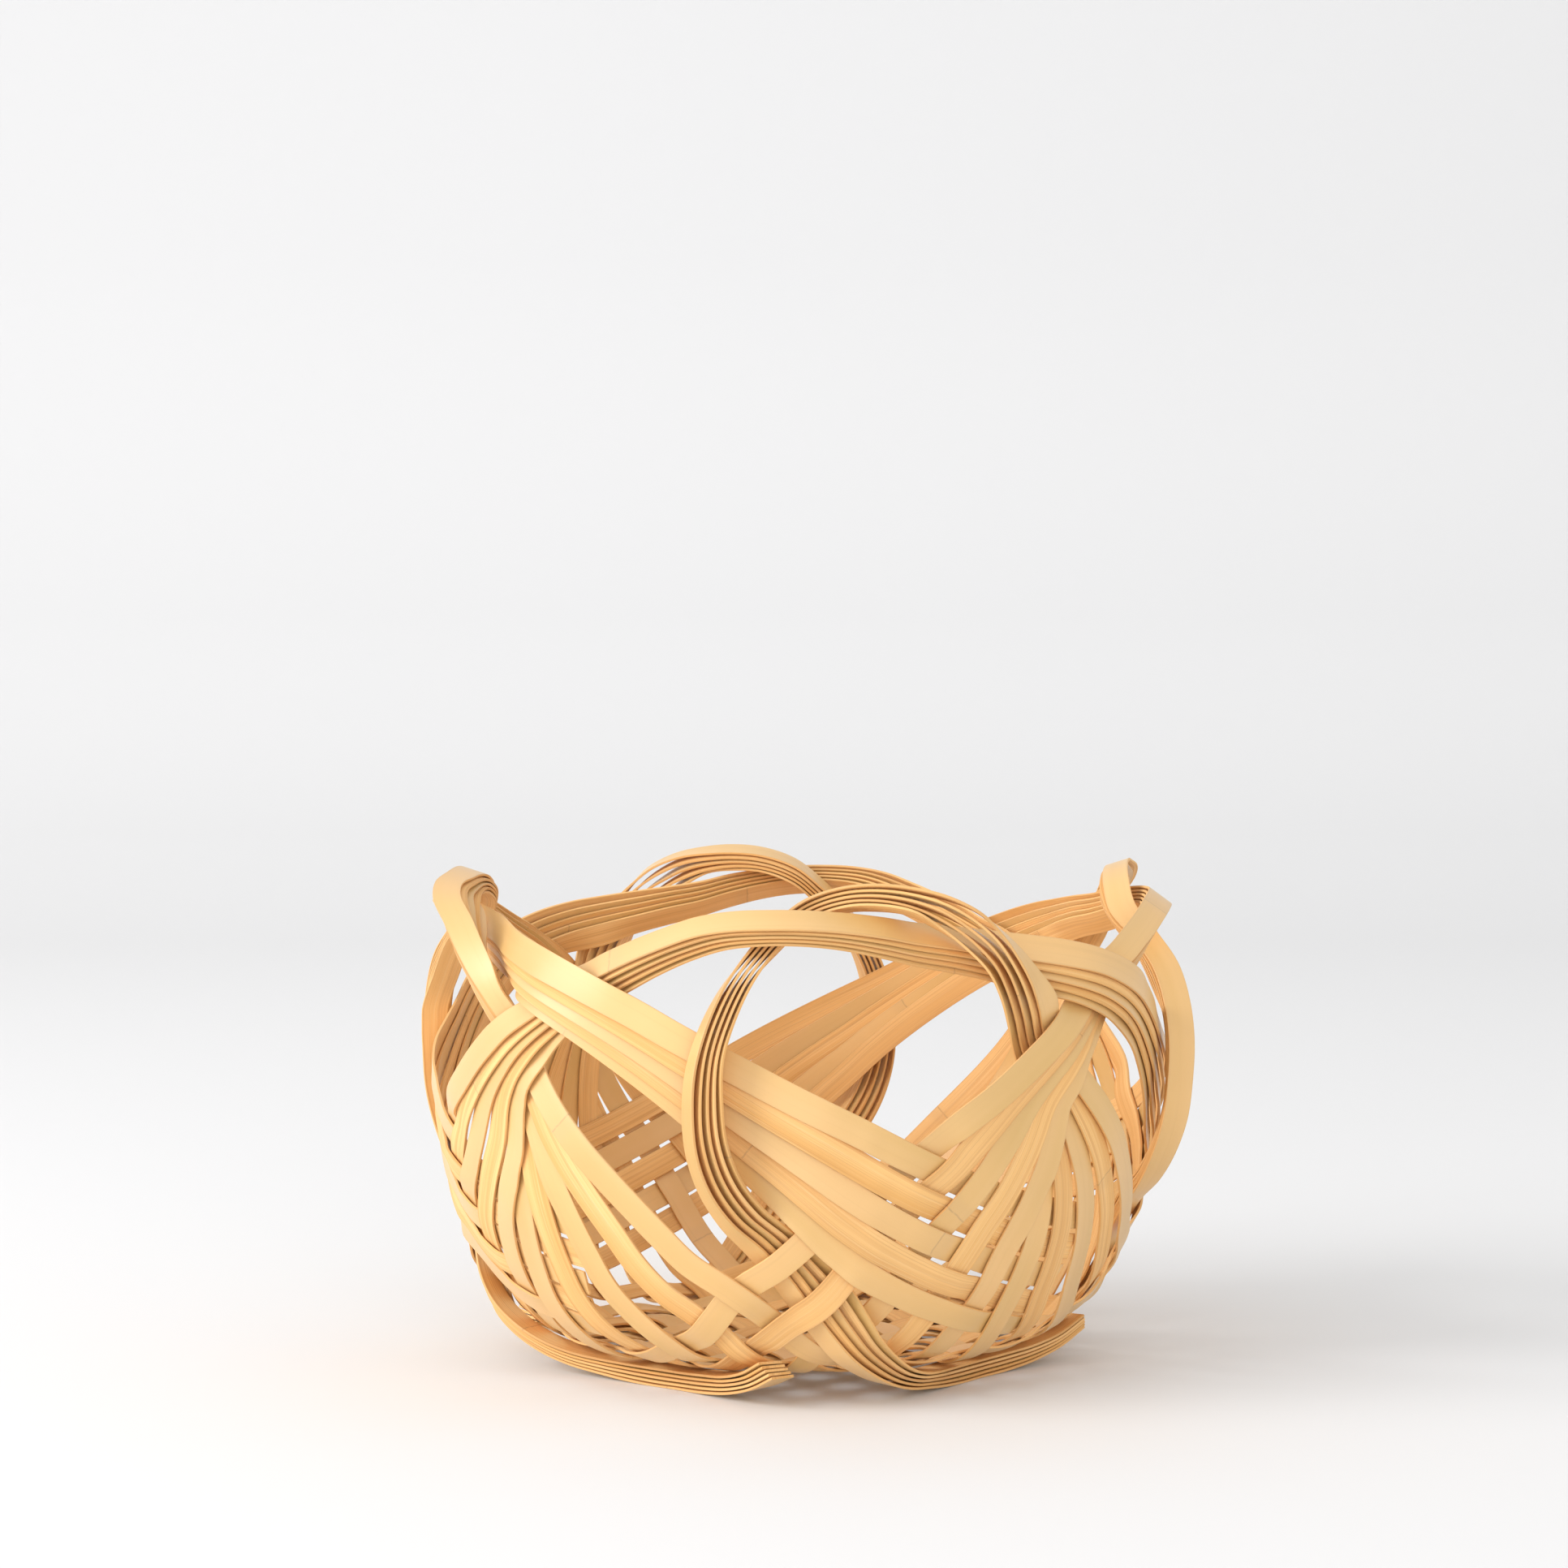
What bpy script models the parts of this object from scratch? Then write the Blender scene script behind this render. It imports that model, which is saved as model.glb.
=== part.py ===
"""Plaited bamboo basket: twenty flat strips, five kinds, each laid in four quarter turns.

A strip crosses the square mat of the base. One end, the arch end, climbs the wall, arches over
the next corner and comes down as the wide band. The other end, the loop end, climbs to the same
corner, stands on edge in the round loop, dives to the foot and turns under the basket.

Each strip is drawn on a map: the bowl's surface rolled flat, with a height above that surface.
The heights are then settled, so that every crossing passes over or under with a gap between.
"""

import bpy
import numpy as np

# Sizes, in metres.
MEASURE = 0.100
STRIP_THICKNESS = 0.0008
CLEARANCE = 0.0003

# Every place below is a share, in hundredths of MEASURE, and every angle is in degrees.
HUNDREDTH = MEASURE / 100
THICK = STRIP_THICKNESS / HUNDREDTH
GAP = CLEARANCE / HUNDREDTH
LAYER = THICK + GAP
WIDTH_SHARE = 8.4
FOOT_LEVEL_SHARE = 2.45

# The bowl's profile, as radius and height, from the middle of the base to above the rim.
PROFILE_SHARES = (
    (0, 9.2), (30, 9.2), (50, 9.4), (66, 11), (77, 14.2), (85.5, 19.5), (93, 27.5), (99, 37),
    (104.2, 48), (108.8, 62), (112.3, 80), (113.5, 98), (112.4, 116), (109.4, 134), (105, 150),
    (99, 166),
)

# The mat: ten strips each way, their spacing, how much it opens outwards, and the way it faces.
MAT_SPACING_SHARE = 16.1
MAT_SPREAD = 0.0045
MAT_ANGLE = 27
MAT_HALF_COUNT = 4.5
MAT_STEPS = (-4.5, -3, -1.5, 0, 1.5, 3, 4.5)

# Arch end: angle and height of strip 1, angle and height of strip 5, height off the bowl,
# share of the stack that shows, and roll.
ARCH_END_SHARES = (
    (-11, 48.5, 21.5, 19.5, 0, 0, 0),
    (-4.5, 58.5, 24.4, 34, 0, 0, 0),
    (3, 69, 26.8, 50, 0, 0, 0),
    (10.6, 79.4, 30, 63, 0, 0.3, 0),
    (15.8, 88.4, 33.4, 77.4, 0, 1, 0),
    (21.5, 96, 35, 93, 0.3, 1, 0),
    (28, 105.5, 39.3, 105.5, 1, 1, -4),
    (35.5, 116, 44, 116, 1.5, 1, -10),
    (43, 125.5, 49, 123.5, 0, 1, -20),
    (51.5, 133.2, 55, 129.3, 0.5, 1, -30),
    (60, 139.6, 62, 135.6, 2, 1, -36),
    (69, 144.6, 70, 140.8, 4, 1, -38),
    (79, 145.8, 79, 142.4, 4.5, 1, -38),
    (89, 145.8, 89, 141.7, 2, 1, -36),
    (99, 144.2, 99.5, 138.4, 0, 1, -30),
    (109.5, 142, 110.5, 135, -1.5, 1, -22),
    (119.5, 138, 121.3, 129, -0.5, 1, -14),
    (129, 133.6, 131.5, 121.6, 2.5, 1, -8),
    (138.5, 127.6, 140.5, 112.8, 2.5, 1, -5),
    (147.5, 120.2, 149, 101.8, 0, 1, -3),
    (156, 111.8, 157, 89.5, -1.5, 1, 0),
    (164.5, 103.6, 164.5, 76, -1.5, 1, 0),
    (172.5, 95.6, 171, 65.2, 0, 0.6, 0),
    (180.5, 87.6, 177.5, 53, 0, 0, 0),
    (188, 79.8, 184.5, 43.4, 0, 0, 0),
    (196.5, 71.8, 192, 36.2, 0, 0, 0),
    (206, 64.4, 200.5, 30.6, 0, 0, 0),
    (216, 59, 211, 25, -0.6, 0, 0),
    (225, 56, 221, 21.5, -0.6, 0, 0),
)
ARCH_END_ZONES = "VVVVVVGGGAAAAWWWWWWWWWWLLLLLL"

# Loop end, from the mat outwards, for strip 1 and then strip 5.
LOOP_END_SHARES = (
    (64, 48, 31.3, 31, 0, 0, 0),
    (58.5, 59, 32.3, 44, 0, 0, 0),
    (52.5, 71, 33, 57, 0, 0.2, 0),
    (46.5, 83.5, 33, 71, -0.5, 0.8, 0),
    (40.8, 95.5, 32.6, 86, -2, 1, 0),
    (36.6, 105, 31.4, 99, -3.5, 1, 0),
    (33.3, 114.5, 29, 110.5, -3.5, 1, 8),
    (30, 124, 26, 120.5, 0, 1, 25),
    (26, 133, 22.8, 129.5, 3, 1, 42),
    (21, 142, 18.6, 138, 4, 1, 60),
    (14.5, 149.8, 13, 145.4, 3, 1, 75),
    (7, 154.9, 6.4, 150.2, 0, 1, 85),
    (-0.5, 155.9, -0.3, 151.2, -3, 1, 88),
    (-7, 153, -5.6, 149, -5, 1, 88),
    (-12, 146.2, -9.6, 143, -5, 1, 88),
    (-15.6, 138, -12.8, 136.3, -2, 1, 82),
    (-18.6, 128.4, -15.6, 127.6, 2, 1, 74),
    (-20.8, 118, -17.7, 118, 4.5, 1, 66),
    (-22.4, 107, -19, 107.3, 6, 1, 60),
    (-23, 96, -19.2, 96.3, 6, 1, 56),
    (-22.9, 85, -18.7, 85, 6, 1, 54),
    (-21.9, 74, -17.2, 75, 4.6, 1, 52),
    (-19.4, 62.6, -14.2, 64.6, 2.2, 1, 46),
    (-15.2, 51.6, -9.8, 54.8, -0.8, 1, 34),
    (-11, 42.2, -5.4, 46.4, -0.6, 1, 30),
)
LOOP_END_ZONES = "SSSSSSSBBBBBBCCCCCCCCCCCC"

# The foot, under the basket: angle and radius on the bowl of strip 1, then of strip 5.
FOOT_SHARES = (
    (-6, 95.4, -0.6, 99.8, 2.6, 1, 31),
    (-1.2, 89.8, 3.8, 93.4, 5.2, 0.9, 32),
    (5.5, 82.4, 9.4, 85.8, 5.6, 0.85, 30),
    (14, 73.8, 16.6, 77.2, 5.3, 0.9, 23),
    (24, 67, 25.6, 69.2, 5.2, 1, 12),
    (35, 62.6, 35.4, 63.2, 5.3, 1.1, 8),
    (44.6, 61.4, 44.6, 61.4, 5.35, 1.14, 7.7),
    (54, 62.4, 53.6, 62.8, 5.3, 1.1, 8),
    (63, 66.8, 62, 67.8, 5, 1, 13),
    (72, 74, 70, 75.6, 4.6, 0.85, 20),
    (79, 82.6, 76.6, 84.6, 4.2, 0.75, 24),
)

# How far apart the cross-sections of a strip stand in each zone.
RING_SPACING_SHARES = {
    "K": 10.8, "C": 13, "B": 9.5, "S": 12, "V": 5.2, "G": 8, "A": 12, "W": 12.5, "L": 5.2,
}

# Which zone passes outside which where two strips cross.
# K foot, C loop after its top, B loop before its top, S climb of the loop end, M mat,
# V and G climb of the arch end, A arch, W band, L tail of the band inside the wall.
PASSES_OVER = {
    "K": "MSLWGA", "C": "MSLWGB", "B": "LWA", "A": "SC", "G": "SB", "V": "SB",
    "W": "SGA", "L": "GA", "S": "L",
}
LOOP_ZONES = set("KC")
OUTER_PAIR = 2
STRIPS = (1, 2, 3, 4, 5)
QUARTERS = ("front", "right", "back", "left")

PASSES = 900
SMOOTHING = 0.3
BUNDLE_EASE = 1.04
WEAVE_EASE = 1.05
SAMPLE_SHARE = 1.6
CELL_SHARE = 0.66
FACE_EDGES = (0, 0.25, 0.5, 0.75, 1)


def eased(t, knots, values):
    """A smooth curve through values at the knots, read at each t."""
    slopes = np.diff(values, axis=0) / np.diff(knots)[:, None]
    steps = np.diff(knots)[:, None]
    tangents = np.empty_like(values)
    tangents[0], tangents[-1] = slopes[0], slopes[-1]
    tangents[1:-1] = (slopes[:-1] * steps[1:] + slopes[1:] * steps[:-1]) / (steps[1:] + steps[:-1])
    k = np.clip(np.searchsorted(knots, t, side="right") - 1, 0, len(knots) - 2)
    u = ((t - knots[k]) / np.diff(knots)[k])[:, None]
    h = np.diff(knots)[k][:, None]
    return (
        (2 * u**3 - 3 * u**2 + 1) * values[k]
        + (u**3 - 2 * u**2 + u) * h * tangents[k]
        + (3 * u**2 - 2 * u**3) * values[k + 1]
        + (u**3 - u**2) * h * tangents[k + 1]
    )


def run_lengths(points):
    """Distance along a line of points, from its first point."""
    return np.concatenate([[0], np.cumsum(np.linalg.norm(np.diff(points, axis=0), axis=1))])


def bowl_curve():
    """The bowl's profile against distance from the middle of the base: radius, height, slopes."""
    corners = np.array(PROFILE_SHARES, float)
    knots = run_lengths(corners)
    fine = eased(np.linspace(0, knots[-1], 2001), knots, corners)
    along = run_lengths(fine)
    reach = np.linspace(0, along[-1], 801)
    radius = np.interp(reach, along, fine[:, 0])
    height = np.interp(reach, along, fine[:, 1])
    out, up = np.gradient(radius, reach), np.gradient(height, reach)
    length = np.hypot(out, up)
    return reach, radius, height, out / length, up / length


REACH, RADIUS, HEIGHT, OUT, UP = bowl_curve()
WIDEST = int(np.argmax(RADIUS))
RISING = int(np.searchsorted(RADIUS, RADIUS[WIDEST] / 2))


def reach_at_height(height):
    return np.interp(height, HEIGHT[RISING:], REACH[RISING:])


def reach_at_radius(radius):
    return np.interp(radius, RADIUS[:WIDEST], REACH[:WIDEST])


def map_point(angle, reach):
    turn = np.radians(angle)
    return np.array([reach * np.sin(turn), -reach * np.cos(turn)])


def lifted(places, heights):
    """Points in space of places on the map, each at a height off the bowl."""
    reach = np.maximum(np.hypot(places[:, 0], places[:, 1]), 1e-9)
    way = places / reach[:, None]
    across = np.interp(reach, REACH, RADIUS) + heights * np.interp(reach, REACH, UP)
    level = np.interp(reach, REACH, HEIGHT) - heights * np.interp(reach, REACH, OUT)
    return np.column_stack([across[:, None] * way, level])


def right_of(places, travel):
    """On the map, the step of unit length on the bowl that points right of the travel."""
    reach = np.maximum(np.hypot(places[:, 0], places[:, 1]), 1e-6)
    out = places / reach[:, None]
    around = np.column_stack([-out[:, 1], out[:, 0]])
    squeeze = np.interp(reach, REACH, RADIUS) / reach
    rise = (travel * out).sum(axis=1)
    turn = (travel * around).sum(axis=1) * squeeze
    length = np.hypot(rise, turn)
    return (-turn / length)[:, None] * out + (rise / length / squeeze)[:, None] * around


def turned(places, quarters):
    for _ in range(quarters):
        places = np.column_stack([-places[:, 1], places[:, 0]])
    return places


def mat_point(across, along):
    """Where the strip at this count across the mat is, at this count along it."""
    side = MAT_SPACING_SHARE * across * (1 + MAT_SPREAD * along**2)
    ahead = MAT_SPACING_SHARE * along * (1 + MAT_SPREAD * across**2)
    turn = np.radians(MAT_ANGLE)
    return side * np.array([np.cos(turn), np.sin(turn)]) + ahead * np.array([np.sin(turn), -np.cos(turn)])


def station(row, number, reach_of):
    """A row of a table read for one strip: place, height and roll."""
    angle_1, level_1, angle_5, level_5, height, stack, roll = row
    share = (number - 1) / 4
    reach = (1 - share) * reach_of(level_1) + share * reach_of(level_5)
    place = map_point((1 - share) * angle_1 + share * angle_5, reach)
    lift = height + stack * LAYER * (3 - number) * np.cos(np.radians(roll))
    return place, lift, roll


def stations(number):
    """All stations of a strip from its foot to its tail, and the zone that each one starts."""
    rows, zones = [], []
    loop_end = [(row, reach_at_radius, "K") for row in reversed(FOOT_SHARES)]
    loop_rows = zip(reversed(LOOP_END_SHARES), reversed(LOOP_END_ZONES))
    loop_end += [(row, reach_at_height, zone) for row, zone in loop_rows]
    for row, reach_of, zone in loop_end:
        place, lift, roll = station(row, number, reach_of)
        rows.append((*-place, lift, -roll))
        zones.append(zone)
    for along in MAT_STEPS:
        rows.append((*mat_point(number - 1 - MAT_HALF_COUNT, along), 0, 0))
        zones.append("M")
    for row, zone in zip(ARCH_END_SHARES, ARCH_END_ZONES):
        place, lift, roll = station(row, number, reach_at_height)
        rows.append((*place, lift, roll))
        zones.append(zone)
    return np.array(rows, float), np.array(zones)


def ring_places(knots, zones):
    """Distances along a strip where its cross-sections stand: two to each crossing of the mat."""
    mat = np.flatnonzero(zones == "M")
    counts = np.arange(-MAT_HALF_COUNT, MAT_HALF_COUNT + 1)
    crossings = np.interp(counts, MAT_STEPS, knots[mat])
    half = WIDTH_SHARE * CELL_SHARE
    cells = [place + side for place in crossings for side in (-half, half)]
    places = list(cells)
    starts = [n for n in range(len(zones)) if n == 0 or zones[n] != zones[n - 1]]
    for start, stop in zip(starts, starts[1:] + [len(zones) - 1]):
        zone = zones[start]
        if zone == "M":
            continue
        first, last = knots[start], knots[stop]
        if start < mat[0] <= stop:
            last = cells[0]
        if start == mat[-1] + 1:
            first = cells[-1]
        count = max(1, int(np.ceil((last - first) / RING_SPACING_SHARES[zone] - 0.15)))
        places += list(np.linspace(first, last, count + 1))
    kept = []
    for place in sorted(places):
        if kept and place - kept[-1] < THICK * 2:
            if place not in cells:
                continue
            kept.pop()
        kept.append(place)
    return np.array(kept), crossings, cells


def is_over(number, crossing):
    """Plain weave of the mat: whether a strip is the upper one at a crossing."""
    return (number - 1 + crossing) % 2 == 0


def rings(number):
    """A strip's cross-sections before settling: map places and heights of both edges."""
    rows, zones = stations(number)
    knots = run_lengths(lifted(rows[:, :2], rows[:, 2]))
    fine = np.linspace(0, knots[-1], int(knots[-1] * 2) + 1)
    curve = eased(fine, knots, rows)
    travel = np.gradient(curve[:, :2], axis=0)
    along, crossings, cells = ring_places(knots, zones)
    table = np.column_stack([curve, travel])
    read = np.column_stack([np.interp(along, fine, column) for column in table.T])
    place, height, roll = read[:, :2], read[:, 2], np.radians(read[:, 3])
    right = right_of(place, read[:, 4:])
    zone = zones[np.clip(np.searchsorted(knots, along + 1e-3, side="right") - 1, 0, len(zones) - 1)]
    first, last = np.searchsorted(along, [cells[0] - 1e-3, cells[-1] - 1e-3])
    zone[first:last] = "M"
    zone[last:] = np.where(zone[last:] == "M", "V", zone[last:])
    zone[first - 1] = "S"
    held = (zone == "K") & (np.abs(roll) < np.radians(9))
    for n, crossing in enumerate(crossings):
        inside = np.abs(along - crossing) < WIDTH_SHARE * CELL_SHARE + GAP
        side = 1 if is_over(number, n) else -1
        height[inside] = side * LAYER / 2 * WEAVE_EASE
        roll[inside] = 0
        held[inside] = 0 < n < 2 * MAT_HALF_COUNT
    half = WIDTH_SHARE / 2
    return {
        "along": along, "crossings": crossings, "place": place, "right": right,
        "left_at": place - half * np.cos(roll)[:, None] * right,
        "right_at": place + half * np.cos(roll)[:, None] * right,
        "left_up": height + half * np.sin(roll), "right_up": height - half * np.sin(roll),
        "zone": zone, "roll": roll, "held": held,
    }


def zone_order(upper, number, lower, other):
    """1 if the first zone passes over the second, -1 if under, 0 if the pair isn't ruled."""
    if upper in LOOP_ZONES and lower == "V":
        return -1 if other <= OUTER_PAIR else 1
    if upper in "WL" and lower == "V":
        return 1 if other <= number else -1
    return int(lower in PASSES_OVER.get(upper, ""))


def order(zone_a, number_a, crossing_a, zone_b, number_b, crossing_b):
    """1 if strip a passes over strip b here, -1 if under, 0 if they don't meet."""
    last = 2 * MAT_HALF_COUNT
    if zone_b == "M" and zone_a != "M":
        if zone_a in LOOP_ZONES:
            return -1 if number_b <= OUTER_PAIR and crossing_b >= last else 1
        if zone_a in "VG":
            return 1 if is_over(number_a, last) else -1
        if zone_a == "S":
            return 1 if is_over(number_a, 0) else -1
        return 0
    if zone_a == "M" and zone_b != "M":
        return -order(zone_b, number_b, crossing_b, zone_a, number_a, crossing_a)
    if zone_a == "M":
        return 1 if is_over(number_a, crossing_a) else -1
    found = zone_order(zone_a, number_a, zone_b, number_b)
    return found or -zone_order(zone_b, number_b, zone_a, number_a)


def same_turn_crosses(zone_a, zone_b):
    """Strips of one quarter turn only cross where an end of one meets the far end of another."""
    pair = {zone_a, zone_b}
    return bool(pair & set("KC") and pair & set("MVLWAG") or pair & set("BS") and pair & set("WL"))


def corner_weights(along, across):
    return ((1 - along) * (1 - across), (1 - along) * across, along * (1 - across), along * across)


def samples(strip):
    """Points spread over a strip: segment, share along it, share across it, and place."""
    rows = []
    left, right = strip["left_at"], strip["right_at"]
    for k in range(len(left) - 1):
        length = max(np.linalg.norm(left[k + 1] - left[k]), np.linalg.norm(right[k + 1] - right[k]))
        count = max(1, int(np.ceil(length / SAMPLE_SHARE)))
        for u in np.arange(count) / count:
            for f in FACE_EDGES:
                start = (1 - f) * left[k] + f * right[k]
                stop = (1 - f) * left[k + 1] + f * right[k + 1]
                rows.append((k, u, f, *((1 - u) * start + u * stop)))
    rows = np.array(rows)
    return rows[:, 0].astype(int), rows[:, 1], rows[:, 2], rows[:, 3:]


def blend(values, k, u):
    return (1 - u) * values[k] + u * values[k + 1]


def slab_gap(strip_a, k_a, u_a, strip_b, k_b, u_b):
    """The height between the middles of two crossing strips, for their thickness and the gap."""
    lean_a = max(np.cos(blend(strip_a["roll"], k_a, u_a)), 0.4)
    lean_b = max(np.cos(blend(strip_b["roll"], k_b, u_b)), 0.4)
    return THICK / 2 * (1 / lean_a + 1 / lean_b) + GAP


def crossing_rules(strips):
    """Every rule that holds two crossing strips apart, as weights on four corner heights each."""
    rules = []
    for a, strip_a in strips.items():
        k_a, u_a, f_a, at = samples(strip_a)
        zone_a = strip_a["zone"][k_a]
        run_a = blend(strip_a["along"], k_a, u_a)
        cell_a = np.abs(run_a[:, None] - strip_a["crossings"]).argmin(axis=1)
        for b, strip_b in strips.items():
            for quarter in range(4):
                left, right = turned(strip_b["left_at"], quarter), turned(strip_b["right_at"], quarter)
                middle = (left + right) / 2
                for k in range(len(left) - 1):
                    found = meetings(at, left, right, middle, k)
                    for n, u, f, on_edge in found:
                        zone_b = strip_b["zone"][k]
                        if quarter == 0 and not same_turn_crosses(zone_a[n], zone_b):
                            continue
                        run_b = blend(strip_b["along"], k, u)
                        cell_b = int(np.abs(run_b - strip_b["crossings"]).argmin())
                        side = order(zone_a[n], a, cell_a[n], zone_b, b, cell_b)
                        if side == 0:
                            continue
                        need = slab_gap(strip_a, k_a[n], u_a[n], strip_b, k, u)
                        if on_edge:
                            stand = abs(np.sin(blend(strip_b["roll"], k, u)))
                            need = WIDTH_SHARE / 2 * stand + LAYER + GAP / 6
                            f = 0.5
                        weights_a, weights_b = corner_weights(u_a[n], f_a[n]), corner_weights(u, f)
                        rules.append((a, k_a[n], weights_a, b, k, weights_b, need, side))
    return rules


def meetings(at, left, right, middle, k):
    """The sample points that lie on segment k of a strip: point, share along, share across."""
    step = middle[k + 1] - middle[k]
    length = np.hypot(*step)
    centre = (middle[k] + middle[k + 1]) / 2
    near = np.flatnonzero(np.abs(at - centre).max(axis=1) < length / 2 + WIDTH_SHARE * 0.75)
    spot = at[near]
    u = (spot - middle[k]) @ step / length**2
    left_at = left[k] + u[:, None] * (left[k + 1] - left[k])
    right_at = right[k] + u[:, None] * (right[k + 1] - right[k])
    across = right_at - left_at
    width = np.hypot(across[:, 0], across[:, 1])
    f = ((spot - left_at) * across).sum(axis=1) / np.maximum(width, 1e-6) ** 2
    aside = np.abs((spot - (left_at + right_at) / 2) @ np.array([-step[1], step[0]]) / length)
    on_edge = width < WIDTH_SHARE * 0.36
    on_it = np.where(on_edge, aside < width / 2 + THICK, (f > -0.03) & (f < 1.03))
    hit = (u >= -0.02) & (u <= 1.02) & on_it
    return zip(near[hit], np.clip(u[hit], 0, 1), np.clip(f[hit], 0, 1), on_edge[hit])


def nearest_on(strip, spot, run):
    """The point of a strip's middle line nearest a place: segment, share along, and place."""
    window = np.flatnonzero(np.abs(strip["along"][:-1] - run) < WIDTH_SHARE * 5)
    start = strip["place"][window]
    step = strip["place"][window + 1] - start
    u = np.clip(((spot - start) * step).sum(axis=1) / (step**2).sum(axis=1), 0, 1)
    best = int(np.linalg.norm(start + u[:, None] * step - spot, axis=1).argmin())
    return int(window[best]), float(u[best])


def bundle_rules(strips):
    """Every rule that keeps the strips of one bundle in order, the lower number outside."""
    rules = []
    for a, strip_a in strips.items():
        for b, strip_b in strips.items():
            if not 1 <= abs(b - a) <= 2:
                continue
            for k_a in range(len(strip_a["along"]) - 1):
                for u_a in (0, 0.5):
                    for f_a in (0, 0.5, 1):
                        rule = bundle_rule(strip_a, k_a, u_a, f_a, strip_b, b - a)
                        if rule:
                            k_b, weights_b, need = rule
                            weights_a = corner_weights(u_a, f_a)
                            rules.append((a, k_a, weights_a, b, k_b, weights_b, need, np.sign(b - a)))
    return rules


def bundle_rule(strip_a, k_a, u_a, f_a, strip_b, layers):
    """One point of a strip against its neighbour in the bundle, or None where they lie apart."""
    if strip_a["zone"][k_a] == "M":
        return None
    stretch = strip_b["along"][-1] / strip_a["along"][-1]
    left, right = blend(strip_a["left_at"], k_a, u_a), blend(strip_a["right_at"], k_a, u_a)
    spot = (1 - f_a) * left + f_a * right
    k, u = nearest_on(strip_b, spot, strip_a["along"][k_a] * stretch)
    zone = strip_b["zone"][k]
    if zone == "M":
        return None
    side, layers = np.sign(layers), abs(layers)
    right_way = blend(strip_b["right"], k, u)
    length = np.linalg.norm(right_way)
    aside = float((spot - blend(strip_b["place"], k, u)) @ right_way) / length**2
    beyond = 0.01 if {strip_a["zone"][k_a], zone} <= set("VL") else -0.06
    roll = blend(strip_b["roll"], k, u)
    lean, stand = np.cos(roll), np.sin(roll)
    if lean < 0.3:
        return None
    if lean > 0.6:
        f = 0.5 + aside / (WIDTH_SHARE * lean)
        if not beyond < f < 1 - beyond:
            return None
        return k, corner_weights(u, min(max(f, 0), 1)), LAYER * BUNDLE_EASE * layers / lean
    height_a = (1 - f_a) * blend(strip_a["left_up"], k_a, u_a) + f_a * blend(strip_a["right_up"], k_a, u_a)
    height_b = (blend(strip_b["left_up"], k, u) + blend(strip_b["right_up"], k, u)) / 2
    need = (LAYER * BUNDLE_EASE * layers - side * stand * aside) / lean
    beside = abs(aside * lean - (height_a - height_b) * stand) > WIDTH_SHARE / 2 + THICK / 4
    if beside or need < -WIDTH_SHARE / 3:
        return None
    return k, corner_weights(u, 0.5), need


def settle(strips):
    """Moves the heights of every edge, a little at a time, until each rule holds."""
    rules = crossing_rules(strips) + bundle_rules(strips)
    numbers_a, k_a, weights_a, numbers_b, k_b, weights_b, need, side = map(np.array, zip(*rules))
    starts, count = {}, 0
    for number, strip in strips.items():
        starts[number] = count
        count += len(strip["along"])
    heights = np.column_stack([
        np.concatenate([strip[edge] for strip in strips.values()]) for edge in ("left_up", "right_up")
    ])
    drawn = heights.copy()
    held = np.concatenate([strip["held"] for strip in strips.values()])
    roll = np.concatenate([strip["roll"] for strip in strips.values()])
    tied = (np.abs(roll) > 0.45)[:, None]
    corners = np.arange(4)
    index_a = (np.array([starts[n] for n in numbers_a]) + k_a)[:, None] * 2 + corners
    index_b = (np.array([starts[n] for n in numbers_b]) + k_b)[:, None] * 2 + corners
    free = np.repeat(~held, 2)
    pull_a, pull_b = weights_a * free[index_a], weights_b * free[index_b]
    size = (pull_a**2).sum(axis=1) + (pull_b**2).sum(axis=1)
    index = np.concatenate([index_a, index_b], axis=1)
    pull = np.concatenate([pull_a, -pull_b], axis=1)
    for turn in range(PASSES):
        flat = heights.ravel()
        apart = side * ((flat[index_a] * weights_a).sum(axis=1) - (flat[index_b] * weights_b).sum(axis=1))
        short = np.where(size > 1e-3, np.maximum(need - apart, 0), 0)
        live = short > 1e-6
        push = short[live] / np.maximum(size[live], 0.2) * side[live]
        total, share = np.zeros(len(flat)), np.zeros(len(flat))
        np.add.at(total, index[live].ravel(), (push[:, None] * pull[live]).ravel())
        np.add.at(share, index[live].ravel(), np.abs(pull[live]).ravel())
        move = (total / np.maximum(share, 1) * 1.1).reshape(-1, 2)
        move = np.where(tied, move.mean(axis=1, keepdims=True) * 1.6, move)
        heights = heights + np.clip(move, -LAYER, LAYER)
        smooth = SMOOTHING * max(0, 1 - turn / (PASSES * 0.8))
        if smooth:
            heights = drawn + relaxed(heights - drawn, strips, starts, held, smooth)
    for number, strip in strips.items():
        own = heights[starts[number] : starts[number] + len(strip["along"])]
        strip["left_up"], strip["right_up"] = own[:, 0], own[:, 1]


def relaxed(moves, strips, starts, held, smooth):
    """The moves evened out along each strip, except where a strip is held."""
    result = moves.copy()
    for number, strip in strips.items():
        own = slice(starts[number], starts[number] + len(strip["along"]))
        before = moves[own]
        after = before.copy()
        after[1:-1] = (1 - smooth) * before[1:-1] + smooth / 2 * (before[:-2] + before[2:])
        mean = after.mean(axis=1, keepdims=True)
        after = (mean + (after - mean) * (1 - 0.2 * smooth)) * 0.996
        result[own] = np.where(held[own][:, None], before, after)
    return result


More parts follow.
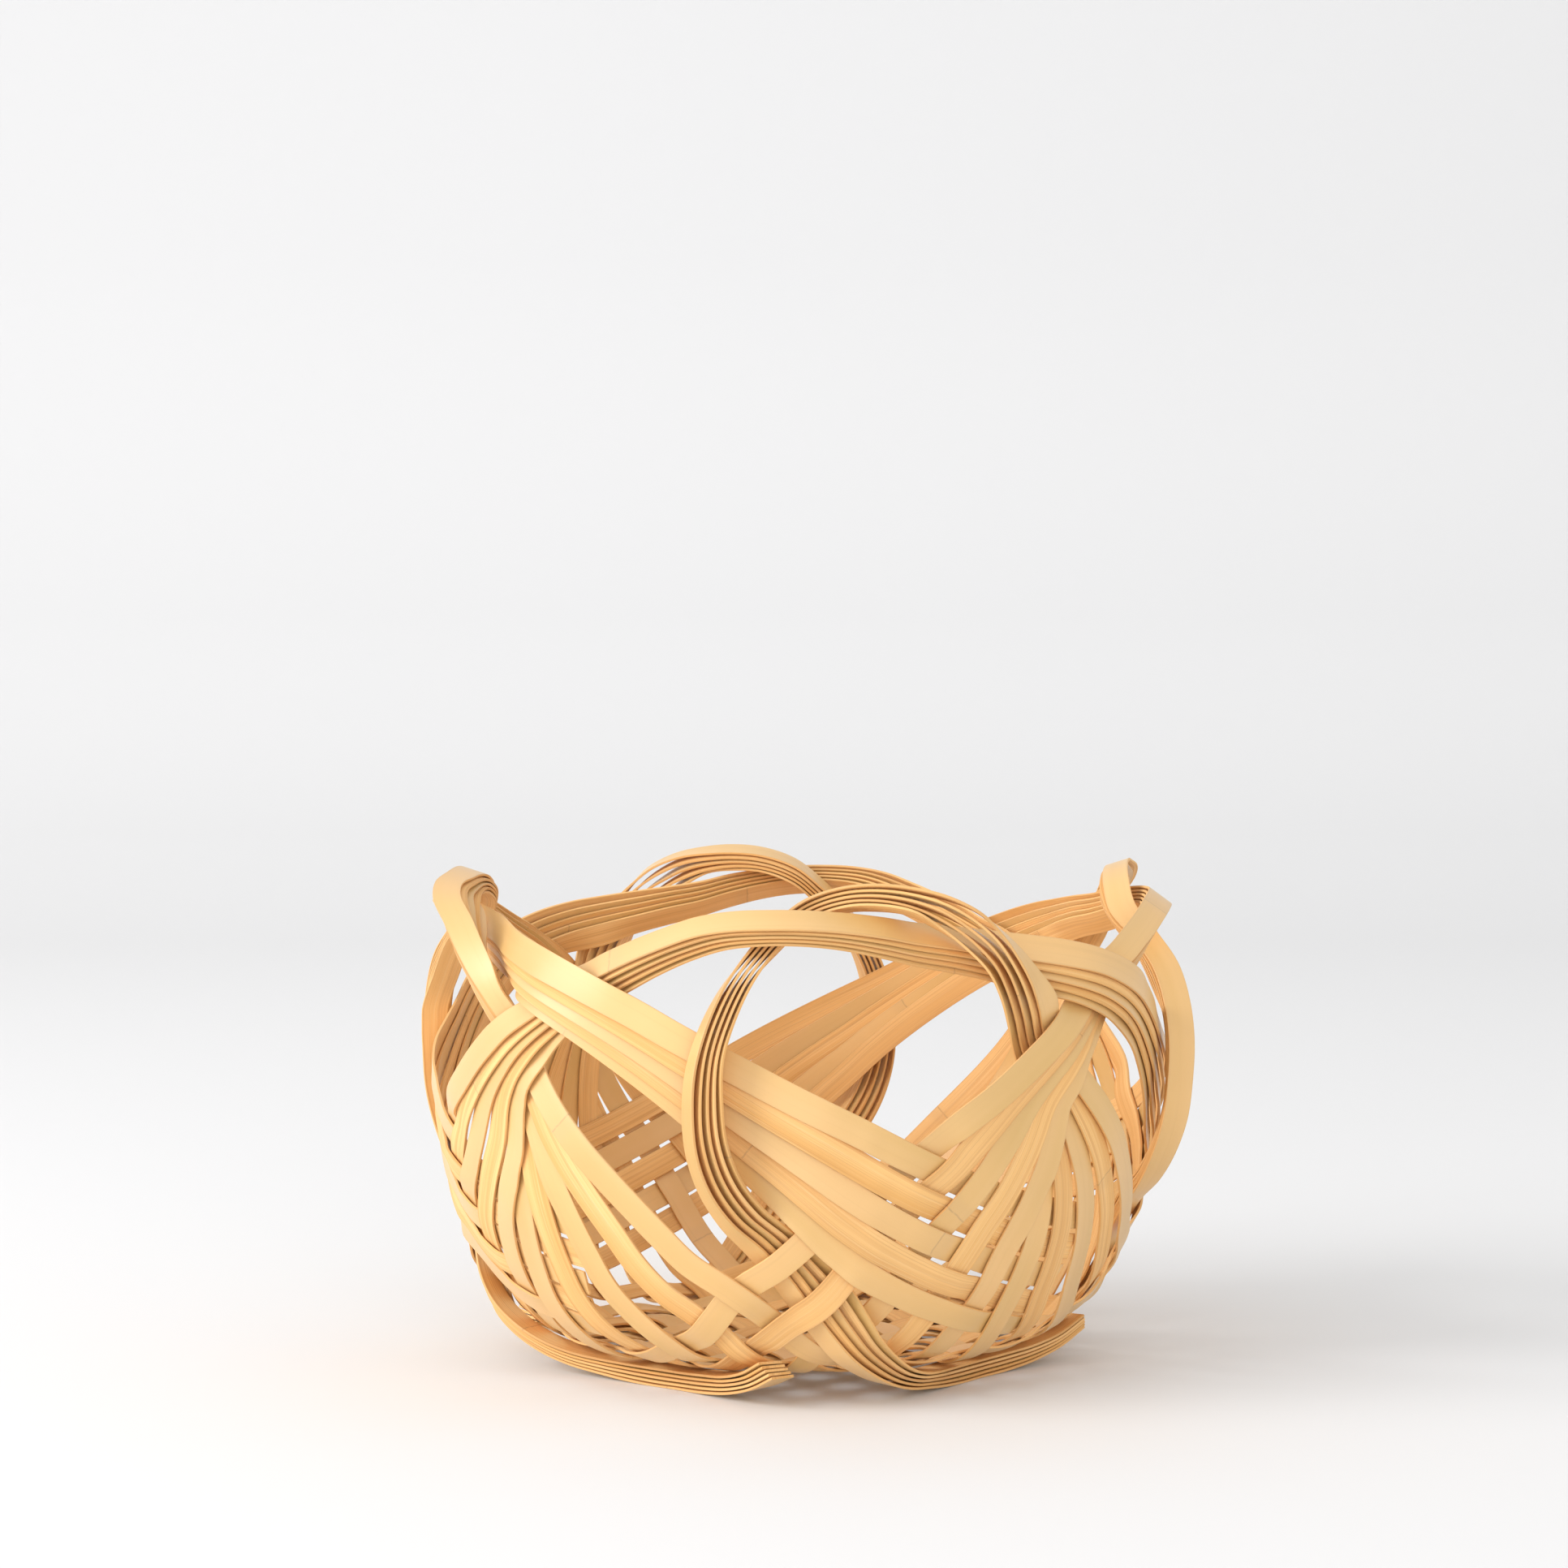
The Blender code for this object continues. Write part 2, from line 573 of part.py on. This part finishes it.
def slab(strip, quarter):
    """Corners and faces of a strip: a flat section of STRIP_THICKNESS at each ring."""
    left = lifted(turned(strip["left_at"], quarter), strip["left_up"])
    right = lifted(turned(strip["right_at"], quarter), strip["right_up"])
    travel = np.gradient((left + right) / 2, axis=0)
    normal = np.cross(right - left, travel)
    normal *= THICK / 2 / np.linalg.norm(normal, axis=1)[:, None]
    corners = np.stack([left + normal, left - normal, right - normal, right + normal], axis=1)
    corners = corners.reshape(-1, 3)
    corners[:, 2] = np.maximum(corners[:, 2] - FOOT_LEVEL_SHARE, 0)
    last = len(corners) - 4
    faces = [(0, 1, 2), (0, 2, 3), (last, last + 2, last + 1), (last, last + 3, last + 2)]
    for start in range(0, last, 4):
        for side in range(4):
            near, far = start + side, start + (side + 1) % 4
            faces += [(near, near + 4, far + 4), (near, far + 4, far)]
    return corners * HUNDREDTH, faces


def bamboo(number):
    """Odd strips show the smooth skin of the cane, even strips its fibres."""
    skin = number % 2 == 1
    name = "skin_face" if skin else "fibre_face"
    found = bpy.data.materials.get(name)
    if found:
        return found
    material = bpy.data.materials.new(name)
    material.use_nodes = True
    shader = material.node_tree.nodes["Principled BSDF"]
    colour = (0.80, 0.55, 0.24, 1) if skin else (0.78, 0.50, 0.22, 1)
    shader.inputs["Base Color"].default_value = colour
    shader.inputs["Roughness"].default_value = 0.38 if skin else 0.6
    shader.inputs["Metallic"].default_value = 0
    material.diffuse_color = colour
    return material


def add_strip(collection, name, strip, quarter, material):
    corners, faces = slab(strip, quarter)
    mesh = bpy.data.meshes.new(name)
    mesh.from_pydata([tuple(corner) for corner in corners], [], faces)
    mesh.materials.append(material)
    mesh.validate()
    collection.objects.link(bpy.data.objects.new(name, mesh))


def build():
    for old in list(bpy.data.objects):
        bpy.data.objects.remove(old, do_unlink=True)
    collection = bpy.data.collections.new("bamboo_basket")
    bpy.context.scene.collection.children.link(collection)
    strips = {number: rings(number) for number in STRIPS}
    settle(strips)
    for quarter, place in enumerate(QUARTERS):
        for number, strip in strips.items():
            add_strip(collection, f"{place}_strip_{number}", strip, quarter, bamboo(number))


build()
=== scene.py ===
import math

import bpy
import numpy as np
from mathutils import Matrix, Vector


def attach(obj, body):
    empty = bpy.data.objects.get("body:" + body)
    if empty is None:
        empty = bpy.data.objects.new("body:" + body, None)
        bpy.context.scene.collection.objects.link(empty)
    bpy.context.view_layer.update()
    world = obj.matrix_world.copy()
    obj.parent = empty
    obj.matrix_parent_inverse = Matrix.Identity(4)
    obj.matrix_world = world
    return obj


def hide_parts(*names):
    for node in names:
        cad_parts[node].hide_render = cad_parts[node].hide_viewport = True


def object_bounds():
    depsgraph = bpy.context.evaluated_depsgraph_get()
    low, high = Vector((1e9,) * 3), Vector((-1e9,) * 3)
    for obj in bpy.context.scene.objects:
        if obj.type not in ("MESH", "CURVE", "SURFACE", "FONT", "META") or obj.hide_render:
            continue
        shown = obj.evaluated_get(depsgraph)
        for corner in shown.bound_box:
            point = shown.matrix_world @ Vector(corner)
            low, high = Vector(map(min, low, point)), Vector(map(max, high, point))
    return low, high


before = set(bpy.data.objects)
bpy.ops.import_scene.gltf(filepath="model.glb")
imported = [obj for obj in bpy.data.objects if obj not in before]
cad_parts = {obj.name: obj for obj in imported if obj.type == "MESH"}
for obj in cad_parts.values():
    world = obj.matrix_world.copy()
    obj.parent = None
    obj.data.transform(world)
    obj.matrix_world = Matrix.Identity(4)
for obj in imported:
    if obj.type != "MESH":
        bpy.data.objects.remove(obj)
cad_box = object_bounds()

# Camera
# It stands a little above the rim and looks almost level at the front quarter,
# turned so that the round loop of the front is left of the middle.
VIEW_TURN = math.radians(-7.6)
VIEW_PITCH = math.radians(2.11)
VIEW_PLACE = Vector((-0.0048, -1.142, 0.2216))

camera = bpy.data.objects.new("camera", bpy.data.cameras.new("camera"))
bpy.context.scene.collection.objects.link(camera)
camera.data.lens = 83.85
camera.data.sensor_width = 36
camera.location = Matrix.Rotation(VIEW_TURN, 3, "Z") @ VIEW_PLACE
camera.rotation_euler = (math.radians(90) - VIEW_PITCH, 0, VIEW_TURN)
bpy.context.scene.camera = camera
bpy.context.scene.view_settings.view_transform = "Standard"


# Courses of the strips
# Each strip is one length of split bamboo, bent by hand, that keeps the course of its solid.
# The four corners of every cross-section are read from the solid, one ring after the other.
END_CORNER_EDGES = 5


def cross_sections(node):
    places = np.array([vertex.co[:] for vertex in node.data.vertices])
    corners, index = np.unique(np.round(places, 6), axis=0, return_inverse=True)
    index = index.reshape(-1)
    near = [set() for _ in corners]
    for edge in node.data.edges:
        a, b = (int(index[v]) for v in edge.vertices)
        if a != b:
            near[a].add(b)
            near[b].add(a)
    tips = [n for n, others in enumerate(near) if len(others) <= END_CORNER_EDGES]
    first = min(tips, key=lambda n: corners[n][2])
    tip = sorted(tips, key=lambda n: np.linalg.norm(corners[n] - corners[first]))[:4]
    ring = [tip[0], tip[1], tip[3], tip[2]]
    if corners[tip[0]][2] + corners[tip[2]][2] > corners[tip[1]][2] + corners[tip[3]][2]:
        ring = [tip[1], tip[0], tip[2], tip[3]]
    rings, seen = [ring], set(ring)
    while len(seen) < len(corners):
        ahead = {m for n in ring for m in near[n]} - seen
        ways = []
        for lean in (1, -1):
            way = [None] * 4
            for m in ahead:
                behind = {side for side in range(4) if ring[side] in near[m]}
                for side in behind:
                    if behind == {side, (side - lean) % 4}:
                        way[side] = m
            ways.append(way)
        ring = min(ways, key=lambda way: sum(np.linalg.norm(corners[way] - corners[ring], axis=1)))
        rings.append(ring)
        seen |= set(ring)
    return corners[np.array(rings)]


def smooth_course(rings, step):
    """The same course with cross-sections this far apart, joined by a smooth curve."""
    middle = rings.mean(axis=1)
    knots = np.concatenate([[0], np.cumsum(np.linalg.norm(np.diff(middle, axis=0), axis=1))])
    values = rings.reshape(len(rings), 12)
    gaps = np.diff(knots)[:, None]
    slopes = np.diff(values, axis=0) / gaps
    lean = np.empty_like(values)
    lean[0], lean[-1] = slopes[0], slopes[-1]
    lean[1:-1] = (slopes[:-1] * gaps[1:] + slopes[1:] * gaps[:-1]) / (gaps[1:] + gaps[:-1])
    along = np.linspace(0, knots[-1], int(knots[-1] / step) + 1)
    k = np.clip(np.searchsorted(knots, along, side="right") - 1, 0, len(knots) - 2)
    h = gaps[k]
    u = ((along - knots[k])[:, None]) / h
    fine = (
        (2 * u**3 - 3 * u**2 + 1) * values[k]
        + (u**3 - 2 * u**2 + u) * h * lean[k]
        + (3 * u**2 - 2 * u**3) * values[k + 1]
        + (u**3 - u**2) * h * lean[k + 1]
    )
    return along, fine.reshape(-1, 4, 3)


# Strips
# Twenty flat strips of split bamboo make the whole basket, in five kinds and four quarter turns.
# The knife leaves each one with a flat face of fibres and a flat skin side, and takes the sharp
# corners off its cut edges.
SECTION = (
    (-0.5, 0.36), (-0.486, 0.5), (-0.2, 0.51), (0.2, 0.51), (0.486, 0.5), (0.5, 0.36),
    (0.5, -0.36), (0.486, -0.5), (0.2, -0.51), (-0.2, -0.51), (-0.486, -0.5), (-0.5, -0.36),
)
SECTION_SPACING = 0.002
FIBRE_LENGTH = 9.7
MAT_RADIUS = 0.045
MAT_TILT = 0.0015


def lay_strip(name, order):
    """One cane, with its fibres' layout as a UV map and its skin side as an attribute."""
    rings = cross_sections(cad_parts[name])
    along, rings = smooth_course(rings, SECTION_SPACING)
    heights = rings[:, :, 2]
    level = np.abs(heights - heights.mean(axis=1, keepdims=True)).max(axis=1) < MAT_TILT
    in_mat = level & (np.hypot(rings[:, 0, 0], rings[:, 0, 1]) < MAT_RADIUS)
    outside_down = heights[:, 0] + heights[:, 3] < heights[:, 1] + heights[:, 2]
    if outside_down[in_mat].mean() < 0.5:
        rings = rings[:, [1, 0, 3, 2]]
    middle = rings.mean(axis=1)
    across = (rings[:, 2] + rings[:, 3] - rings[:, 0] - rings[:, 1]) / 2
    through = (rings[:, 0] + rings[:, 3] - rings[:, 1] - rings[:, 2]) / 2
    count, edge = len(along), len(SECTION)
    points = np.stack([middle + x * across + y * through for x, y in SECTION], axis=1)
    low, high = (np.array(corner) for corner in cad_box)
    points -= np.maximum(points - high, 0).max(axis=1, keepdims=True)
    points += np.maximum(low - points, 0).max(axis=1, keepdims=True)
    points = points.reshape(-1, 3)
    start = np.arange(count - 1)[:, None] * edge
    side = np.arange(edge)
    after = (side + 1) % edge
    faces = np.stack([start + side, start + after, start + edge + after, start + edge + side], axis=2)
    faces = [tuple(face) for face in faces.reshape(-1, 4).tolist()]
    faces += [tuple(reversed(range(edge))), tuple(range((count - 1) * edge, count * edge))]
    mesh = bpy.data.meshes.new(name + "_cane")
    mesh.from_pydata(points.tolist(), [], faces)
    cane = bpy.data.objects.new(name + "_cane", mesh)
    bpy.context.scene.collection.objects.link(cane)

    grain = mesh.uv_layers.new(name="grain")
    width = float(np.linalg.norm(across, axis=1).mean())
    shares = np.array([x for x, y in SECTION]) * width
    corner = np.array([loop.vertex_index for loop in mesh.loops])
    layout = np.column_stack([along[corner // edge] + order * FIBRE_LENGTH, shares[corner % edge]])
    grain.data.foreach_set("uv", layout.ravel())
    skin = mesh.attributes.new("outer", "FLOAT", "POINT")
    skin.data.foreach_set("value", np.tile([y * 2 for x, y in SECTION], count))

    bpy.ops.object.select_all(action="DESELECT")
    cane.select_set(True)
    bpy.context.view_layer.objects.active = cane
    bpy.ops.object.mode_set(mode="EDIT")
    bpy.ops.mesh.select_all(action="SELECT")
    bpy.ops.mesh.normals_make_consistent(inside=False)
    bpy.ops.object.mode_set(mode="OBJECT")
    bpy.ops.object.shade_smooth_by_angle(angle=math.radians(30))
    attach(cane, "root")
    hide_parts(name)
    return cane


# Bamboo
# The skin is close and satin, with a faint green-gold cast. The inner side shows long fibres,
# darker and lighter by turns, and is dry. Each joint of the cane crosses a strip as a brown line.
HALF_WIDTH = 0.0042
JOINT_SPACING = 0.37
JOINT_PLACE = 0.14


class Shade:
    """A socket of a material, so that its maths reads as arithmetic."""

    def __init__(self, tree, socket=None):
        self.tree, self.socket = tree, socket

    def make(self, kind, inputs, output=0, **settings):
        node = self.tree.nodes.new(kind)
        for key, value in settings.items():
            setattr(node, key, value)
        for key, value in inputs.items():
            if isinstance(value, Shade):
                self.tree.links.new(value.socket, node.inputs[key])
            else:
                node.inputs[key].default_value = value
        return Shade(self.tree, node.outputs[output])

    def maths(self, operation, *values):
        return self.make("ShaderNodeMath", dict(enumerate(values)), operation=operation)

    def __add__(self, other):
        return self.maths("ADD", self, other)

    def __radd__(self, other):
        return self.maths("ADD", other, self)

    def __sub__(self, other):
        return self.maths("SUBTRACT", self, other)

    def __rsub__(self, other):
        return self.maths("SUBTRACT", other, self)

    def __mul__(self, other):
        return self.maths("MULTIPLY", self, other)

    def __rmul__(self, other):
        return self.maths("MULTIPLY", other, self)

    def __mod__(self, other):
        return self.maths("FLOORED_MODULO", self, other)

    def __abs__(self):
        return self.maths("ABSOLUTE", self)

    def eased(self, low, high):
        """0 below low, 1 above high, and a smooth rise between them."""
        return self.make(
            "ShaderNodeMapRange", {"Value": self, 1: low, 2: high}, interpolation_type="SMOOTHSTEP"
        )

    def mixed(self, first, second):
        return self.make("ShaderNodeMix", {0: self, 6: first, 7: second}, output=2, data_type="RGBA")


def bamboo(name, skin_outside):
    material = bpy.data.materials.new(name)
    material.use_nodes = True
    tree = material.node_tree
    shader = tree.nodes["Principled BSDF"]
    start = Shade(tree)
    layout = start.make("ShaderNodeUVMap", {}, uv_map="grain")
    along = start.make("ShaderNodeSeparateXYZ", {0: layout}, output=0)
    across = start.make("ShaderNodeSeparateXYZ", {0: layout}, output=1)
    outer = start.make("ShaderNodeAttribute", {}, output=2, attribute_name="outer")
    skin = outer.eased(0.7, 1) if skin_outside else (0 - outer).eased(0.7, 1)

    def streaks(length, width, detail, rough=0.6):
        place = start.make("ShaderNodeCombineXYZ", {0: along * (1 / length), 1: across * (1 / width)})
        return start.make(
            "ShaderNodeTexNoise", {"Vector": place, "Scale": 1, "Detail": detail, "Roughness": rough}
        )

    broad = streaks(0.22, 0.009, 2)
    bundles = streaks(0.16, 0.0016, 1)
    fibres = streaks(0.05, 0.0006, 3)
    threads = streaks(0.11, 0.00022, 2)
    specks = streaks(0.004, 0.00025, 2)
    drift = streaks(0.09, 0.03, 1)
    own = streaks(FIBRE_LENGTH * 1.7, 1, 0)

    fibre_colour = broad.eased(0.3, 0.7).mixed((0.74, 0.39, 0.115, 1), (0.91, 0.56, 0.22, 1))
    fibre_colour = (bundles.eased(0.5, 0.72) * 0.45).mixed(fibre_colour, (0.6, 0.28, 0.08, 1))
    dark_threads = threads.eased(0.54, 0.68) * 0.48
    fibre_colour = dark_threads.mixed(fibre_colour, (0.42, 0.19, 0.06, 1))
    pale_threads = fibres.eased(0.5, 0.75) * 0.5
    fibre_colour = pale_threads.mixed(fibre_colour, (0.92, 0.65, 0.34, 1))

    skin_colour = drift.eased(0.3, 0.7).mixed((0.645, 0.395, 0.118, 1), (0.8, 0.48, 0.17, 1))
    skin_colour = (broad.eased(0.35, 0.7) * 0.3).mixed(skin_colour, (0.82, 0.53, 0.23, 1))
    skin_colour = (bundles.eased(0.55, 0.75) * 0.2).mixed(skin_colour, (0.62, 0.36, 0.12, 1))
    skin_colour = (specks.eased(0.62, 0.8) * 0.16).mixed(skin_colour, (0.5, 0.3, 0.1, 1))
    colour = skin.mixed(fibre_colour, skin_colour)
    # Painted shade: each strip is darkened towards its long edges, standing in for the shade in the
    # gaps between neighbouring strips.
    painted_edge_shade = abs(across).eased(HALF_WIDTH - 0.0006, HALF_WIDTH - 0.0001)
    colour = (painted_edge_shade * 0.2).mixed(colour, (0.52, 0.27, 0.09, 1))
    colour = (own.eased(0.35, 0.65) * 0.22).mixed(colour, (0.74, 0.45, 0.2, 1))

    wobble = streaks(0.02, 0.003, 1)
    stretch = (along + wobble * 0.0008) % JOINT_SPACING
    joint = 1 - abs(stretch - JOINT_PLACE).eased(0.00004, 0.0004)
    joint = joint * streaks(0.05, 0.0016, 1).eased(0.2, 0.5)
    halo = 1 - abs(stretch - JOINT_PLACE - 0.002).eased(0.0005, 0.004)
    colour = (halo * 0.2).mixed(colour, (0.6, 0.38, 0.17, 1))
    colour = (joint * 0.4).mixed(colour, (0.36, 0.2, 0.09, 1))
    tree.links.new(colour.socket, shader.inputs["Base Color"])

    gloss = skin * -0.1 + (0.6 + fibres * 0.1)
    tree.links.new(gloss.socket, shader.inputs["Roughness"])
    relief = fibres * 0.5 + threads * 0.5
    relief = relief * (1 - skin * 0.75) + joint * 0.3 + broad * 0.3
    bump = start.make("ShaderNodeBump", {"Height": relief, "Strength": 0.6, "Distance": 0.0002})
    tree.links.new(bump.socket, shader.inputs["Normal"])
    shader.inputs["Coat Roughness"].default_value = 0.45
    tree.links.new(skin.socket, shader.inputs["Coat Weight"])
    return material


skin_out = bamboo("skin_outside", True)
fibre_out = bamboo("fibre_outside", False)
for order, name in enumerate(sorted(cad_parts)):
    cane = lay_strip(name, order)
    odd = int(name[-1]) % 2 == 1
    cane.data.materials.append(skin_out if odd else fibre_out)


# Floor
# A plain pale sheet of paper, wide enough to fill the view from every side.
# It lies flat under the basket and runs up behind it in one sweep.
SWEEP = ((-7, 0), (1.6, 0), (2.0, 0.06), (2.3, 0.25), (2.45, 0.6), (2.5, 2.6))
FLOOR_HALF_WIDTH = 7

bpy.ops.object.select_all(action="DESELECT")
bpy.ops.mesh.primitive_grid_add(x_subdivisions=1, y_subdivisions=len(SWEEP) - 1, size=2)
floor = bpy.context.object
floor.name = "floor"
rows = sorted({round(vertex.co.y, 4) for vertex in floor.data.vertices})
for vertex in floor.data.vertices:
    y, z = SWEEP[rows.index(round(vertex.co.y, 4))]
    vertex.co = Matrix.Rotation(VIEW_TURN, 3, "Z") @ Vector((vertex.co.x * FLOOR_HALF_WIDTH, y, z))
bpy.ops.object.shade_smooth()

paper = bpy.data.materials.new("paper")
paper.use_nodes = True
paper_shader = paper.node_tree.nodes["Principled BSDF"]
paper_shader.inputs["Base Color"].default_value = (0.77, 0.77, 0.775, 1)
paper_shader.inputs["Roughness"].default_value = 0.9
floor.data.materials.append(paper)

# Light
# A large window stands on the left, a weaker soft lamp in front and a faint one on the paper.
# The pale room gives the rest from all round.
def window(name, place, size, power, colour, target=(0, 0, 0.07)):
    lamp = bpy.data.lights.new(name, "AREA")
    lamp.shape, lamp.size, lamp.energy, lamp.color = "DISK", size, power, colour
    holder = bpy.data.objects.new(name, lamp)
    bpy.context.scene.collection.objects.link(holder)
    holder.location = Matrix.Rotation(VIEW_TURN, 3, "Z") @ Vector(place)
    aim = Matrix.Rotation(VIEW_TURN, 3, "Z") @ Vector(target)
    holder.rotation_euler = (aim - holder.location).to_track_quat("-Z", "Y").to_euler()


window("left_window", (-2.1, -0.95, 1.05), 1.8, 50, (1, 0.985, 0.985))
window("front_softbox", (0.4, -2.2, 0.4), 1.4, 11, (1, 1, 1))
window("paper_light", (0, 0.9, 2.2), 2, 1.5, (1, 1, 1), target=(0, 2.5, 0.7))

world = bpy.data.worlds.new("room")
bpy.context.scene.world = world
world.use_nodes = True
world.node_tree.nodes["Background"].inputs["Color"].default_value = (1, 1, 0.995, 1)
world.node_tree.nodes["Background"].inputs["Strength"].default_value = 0.9
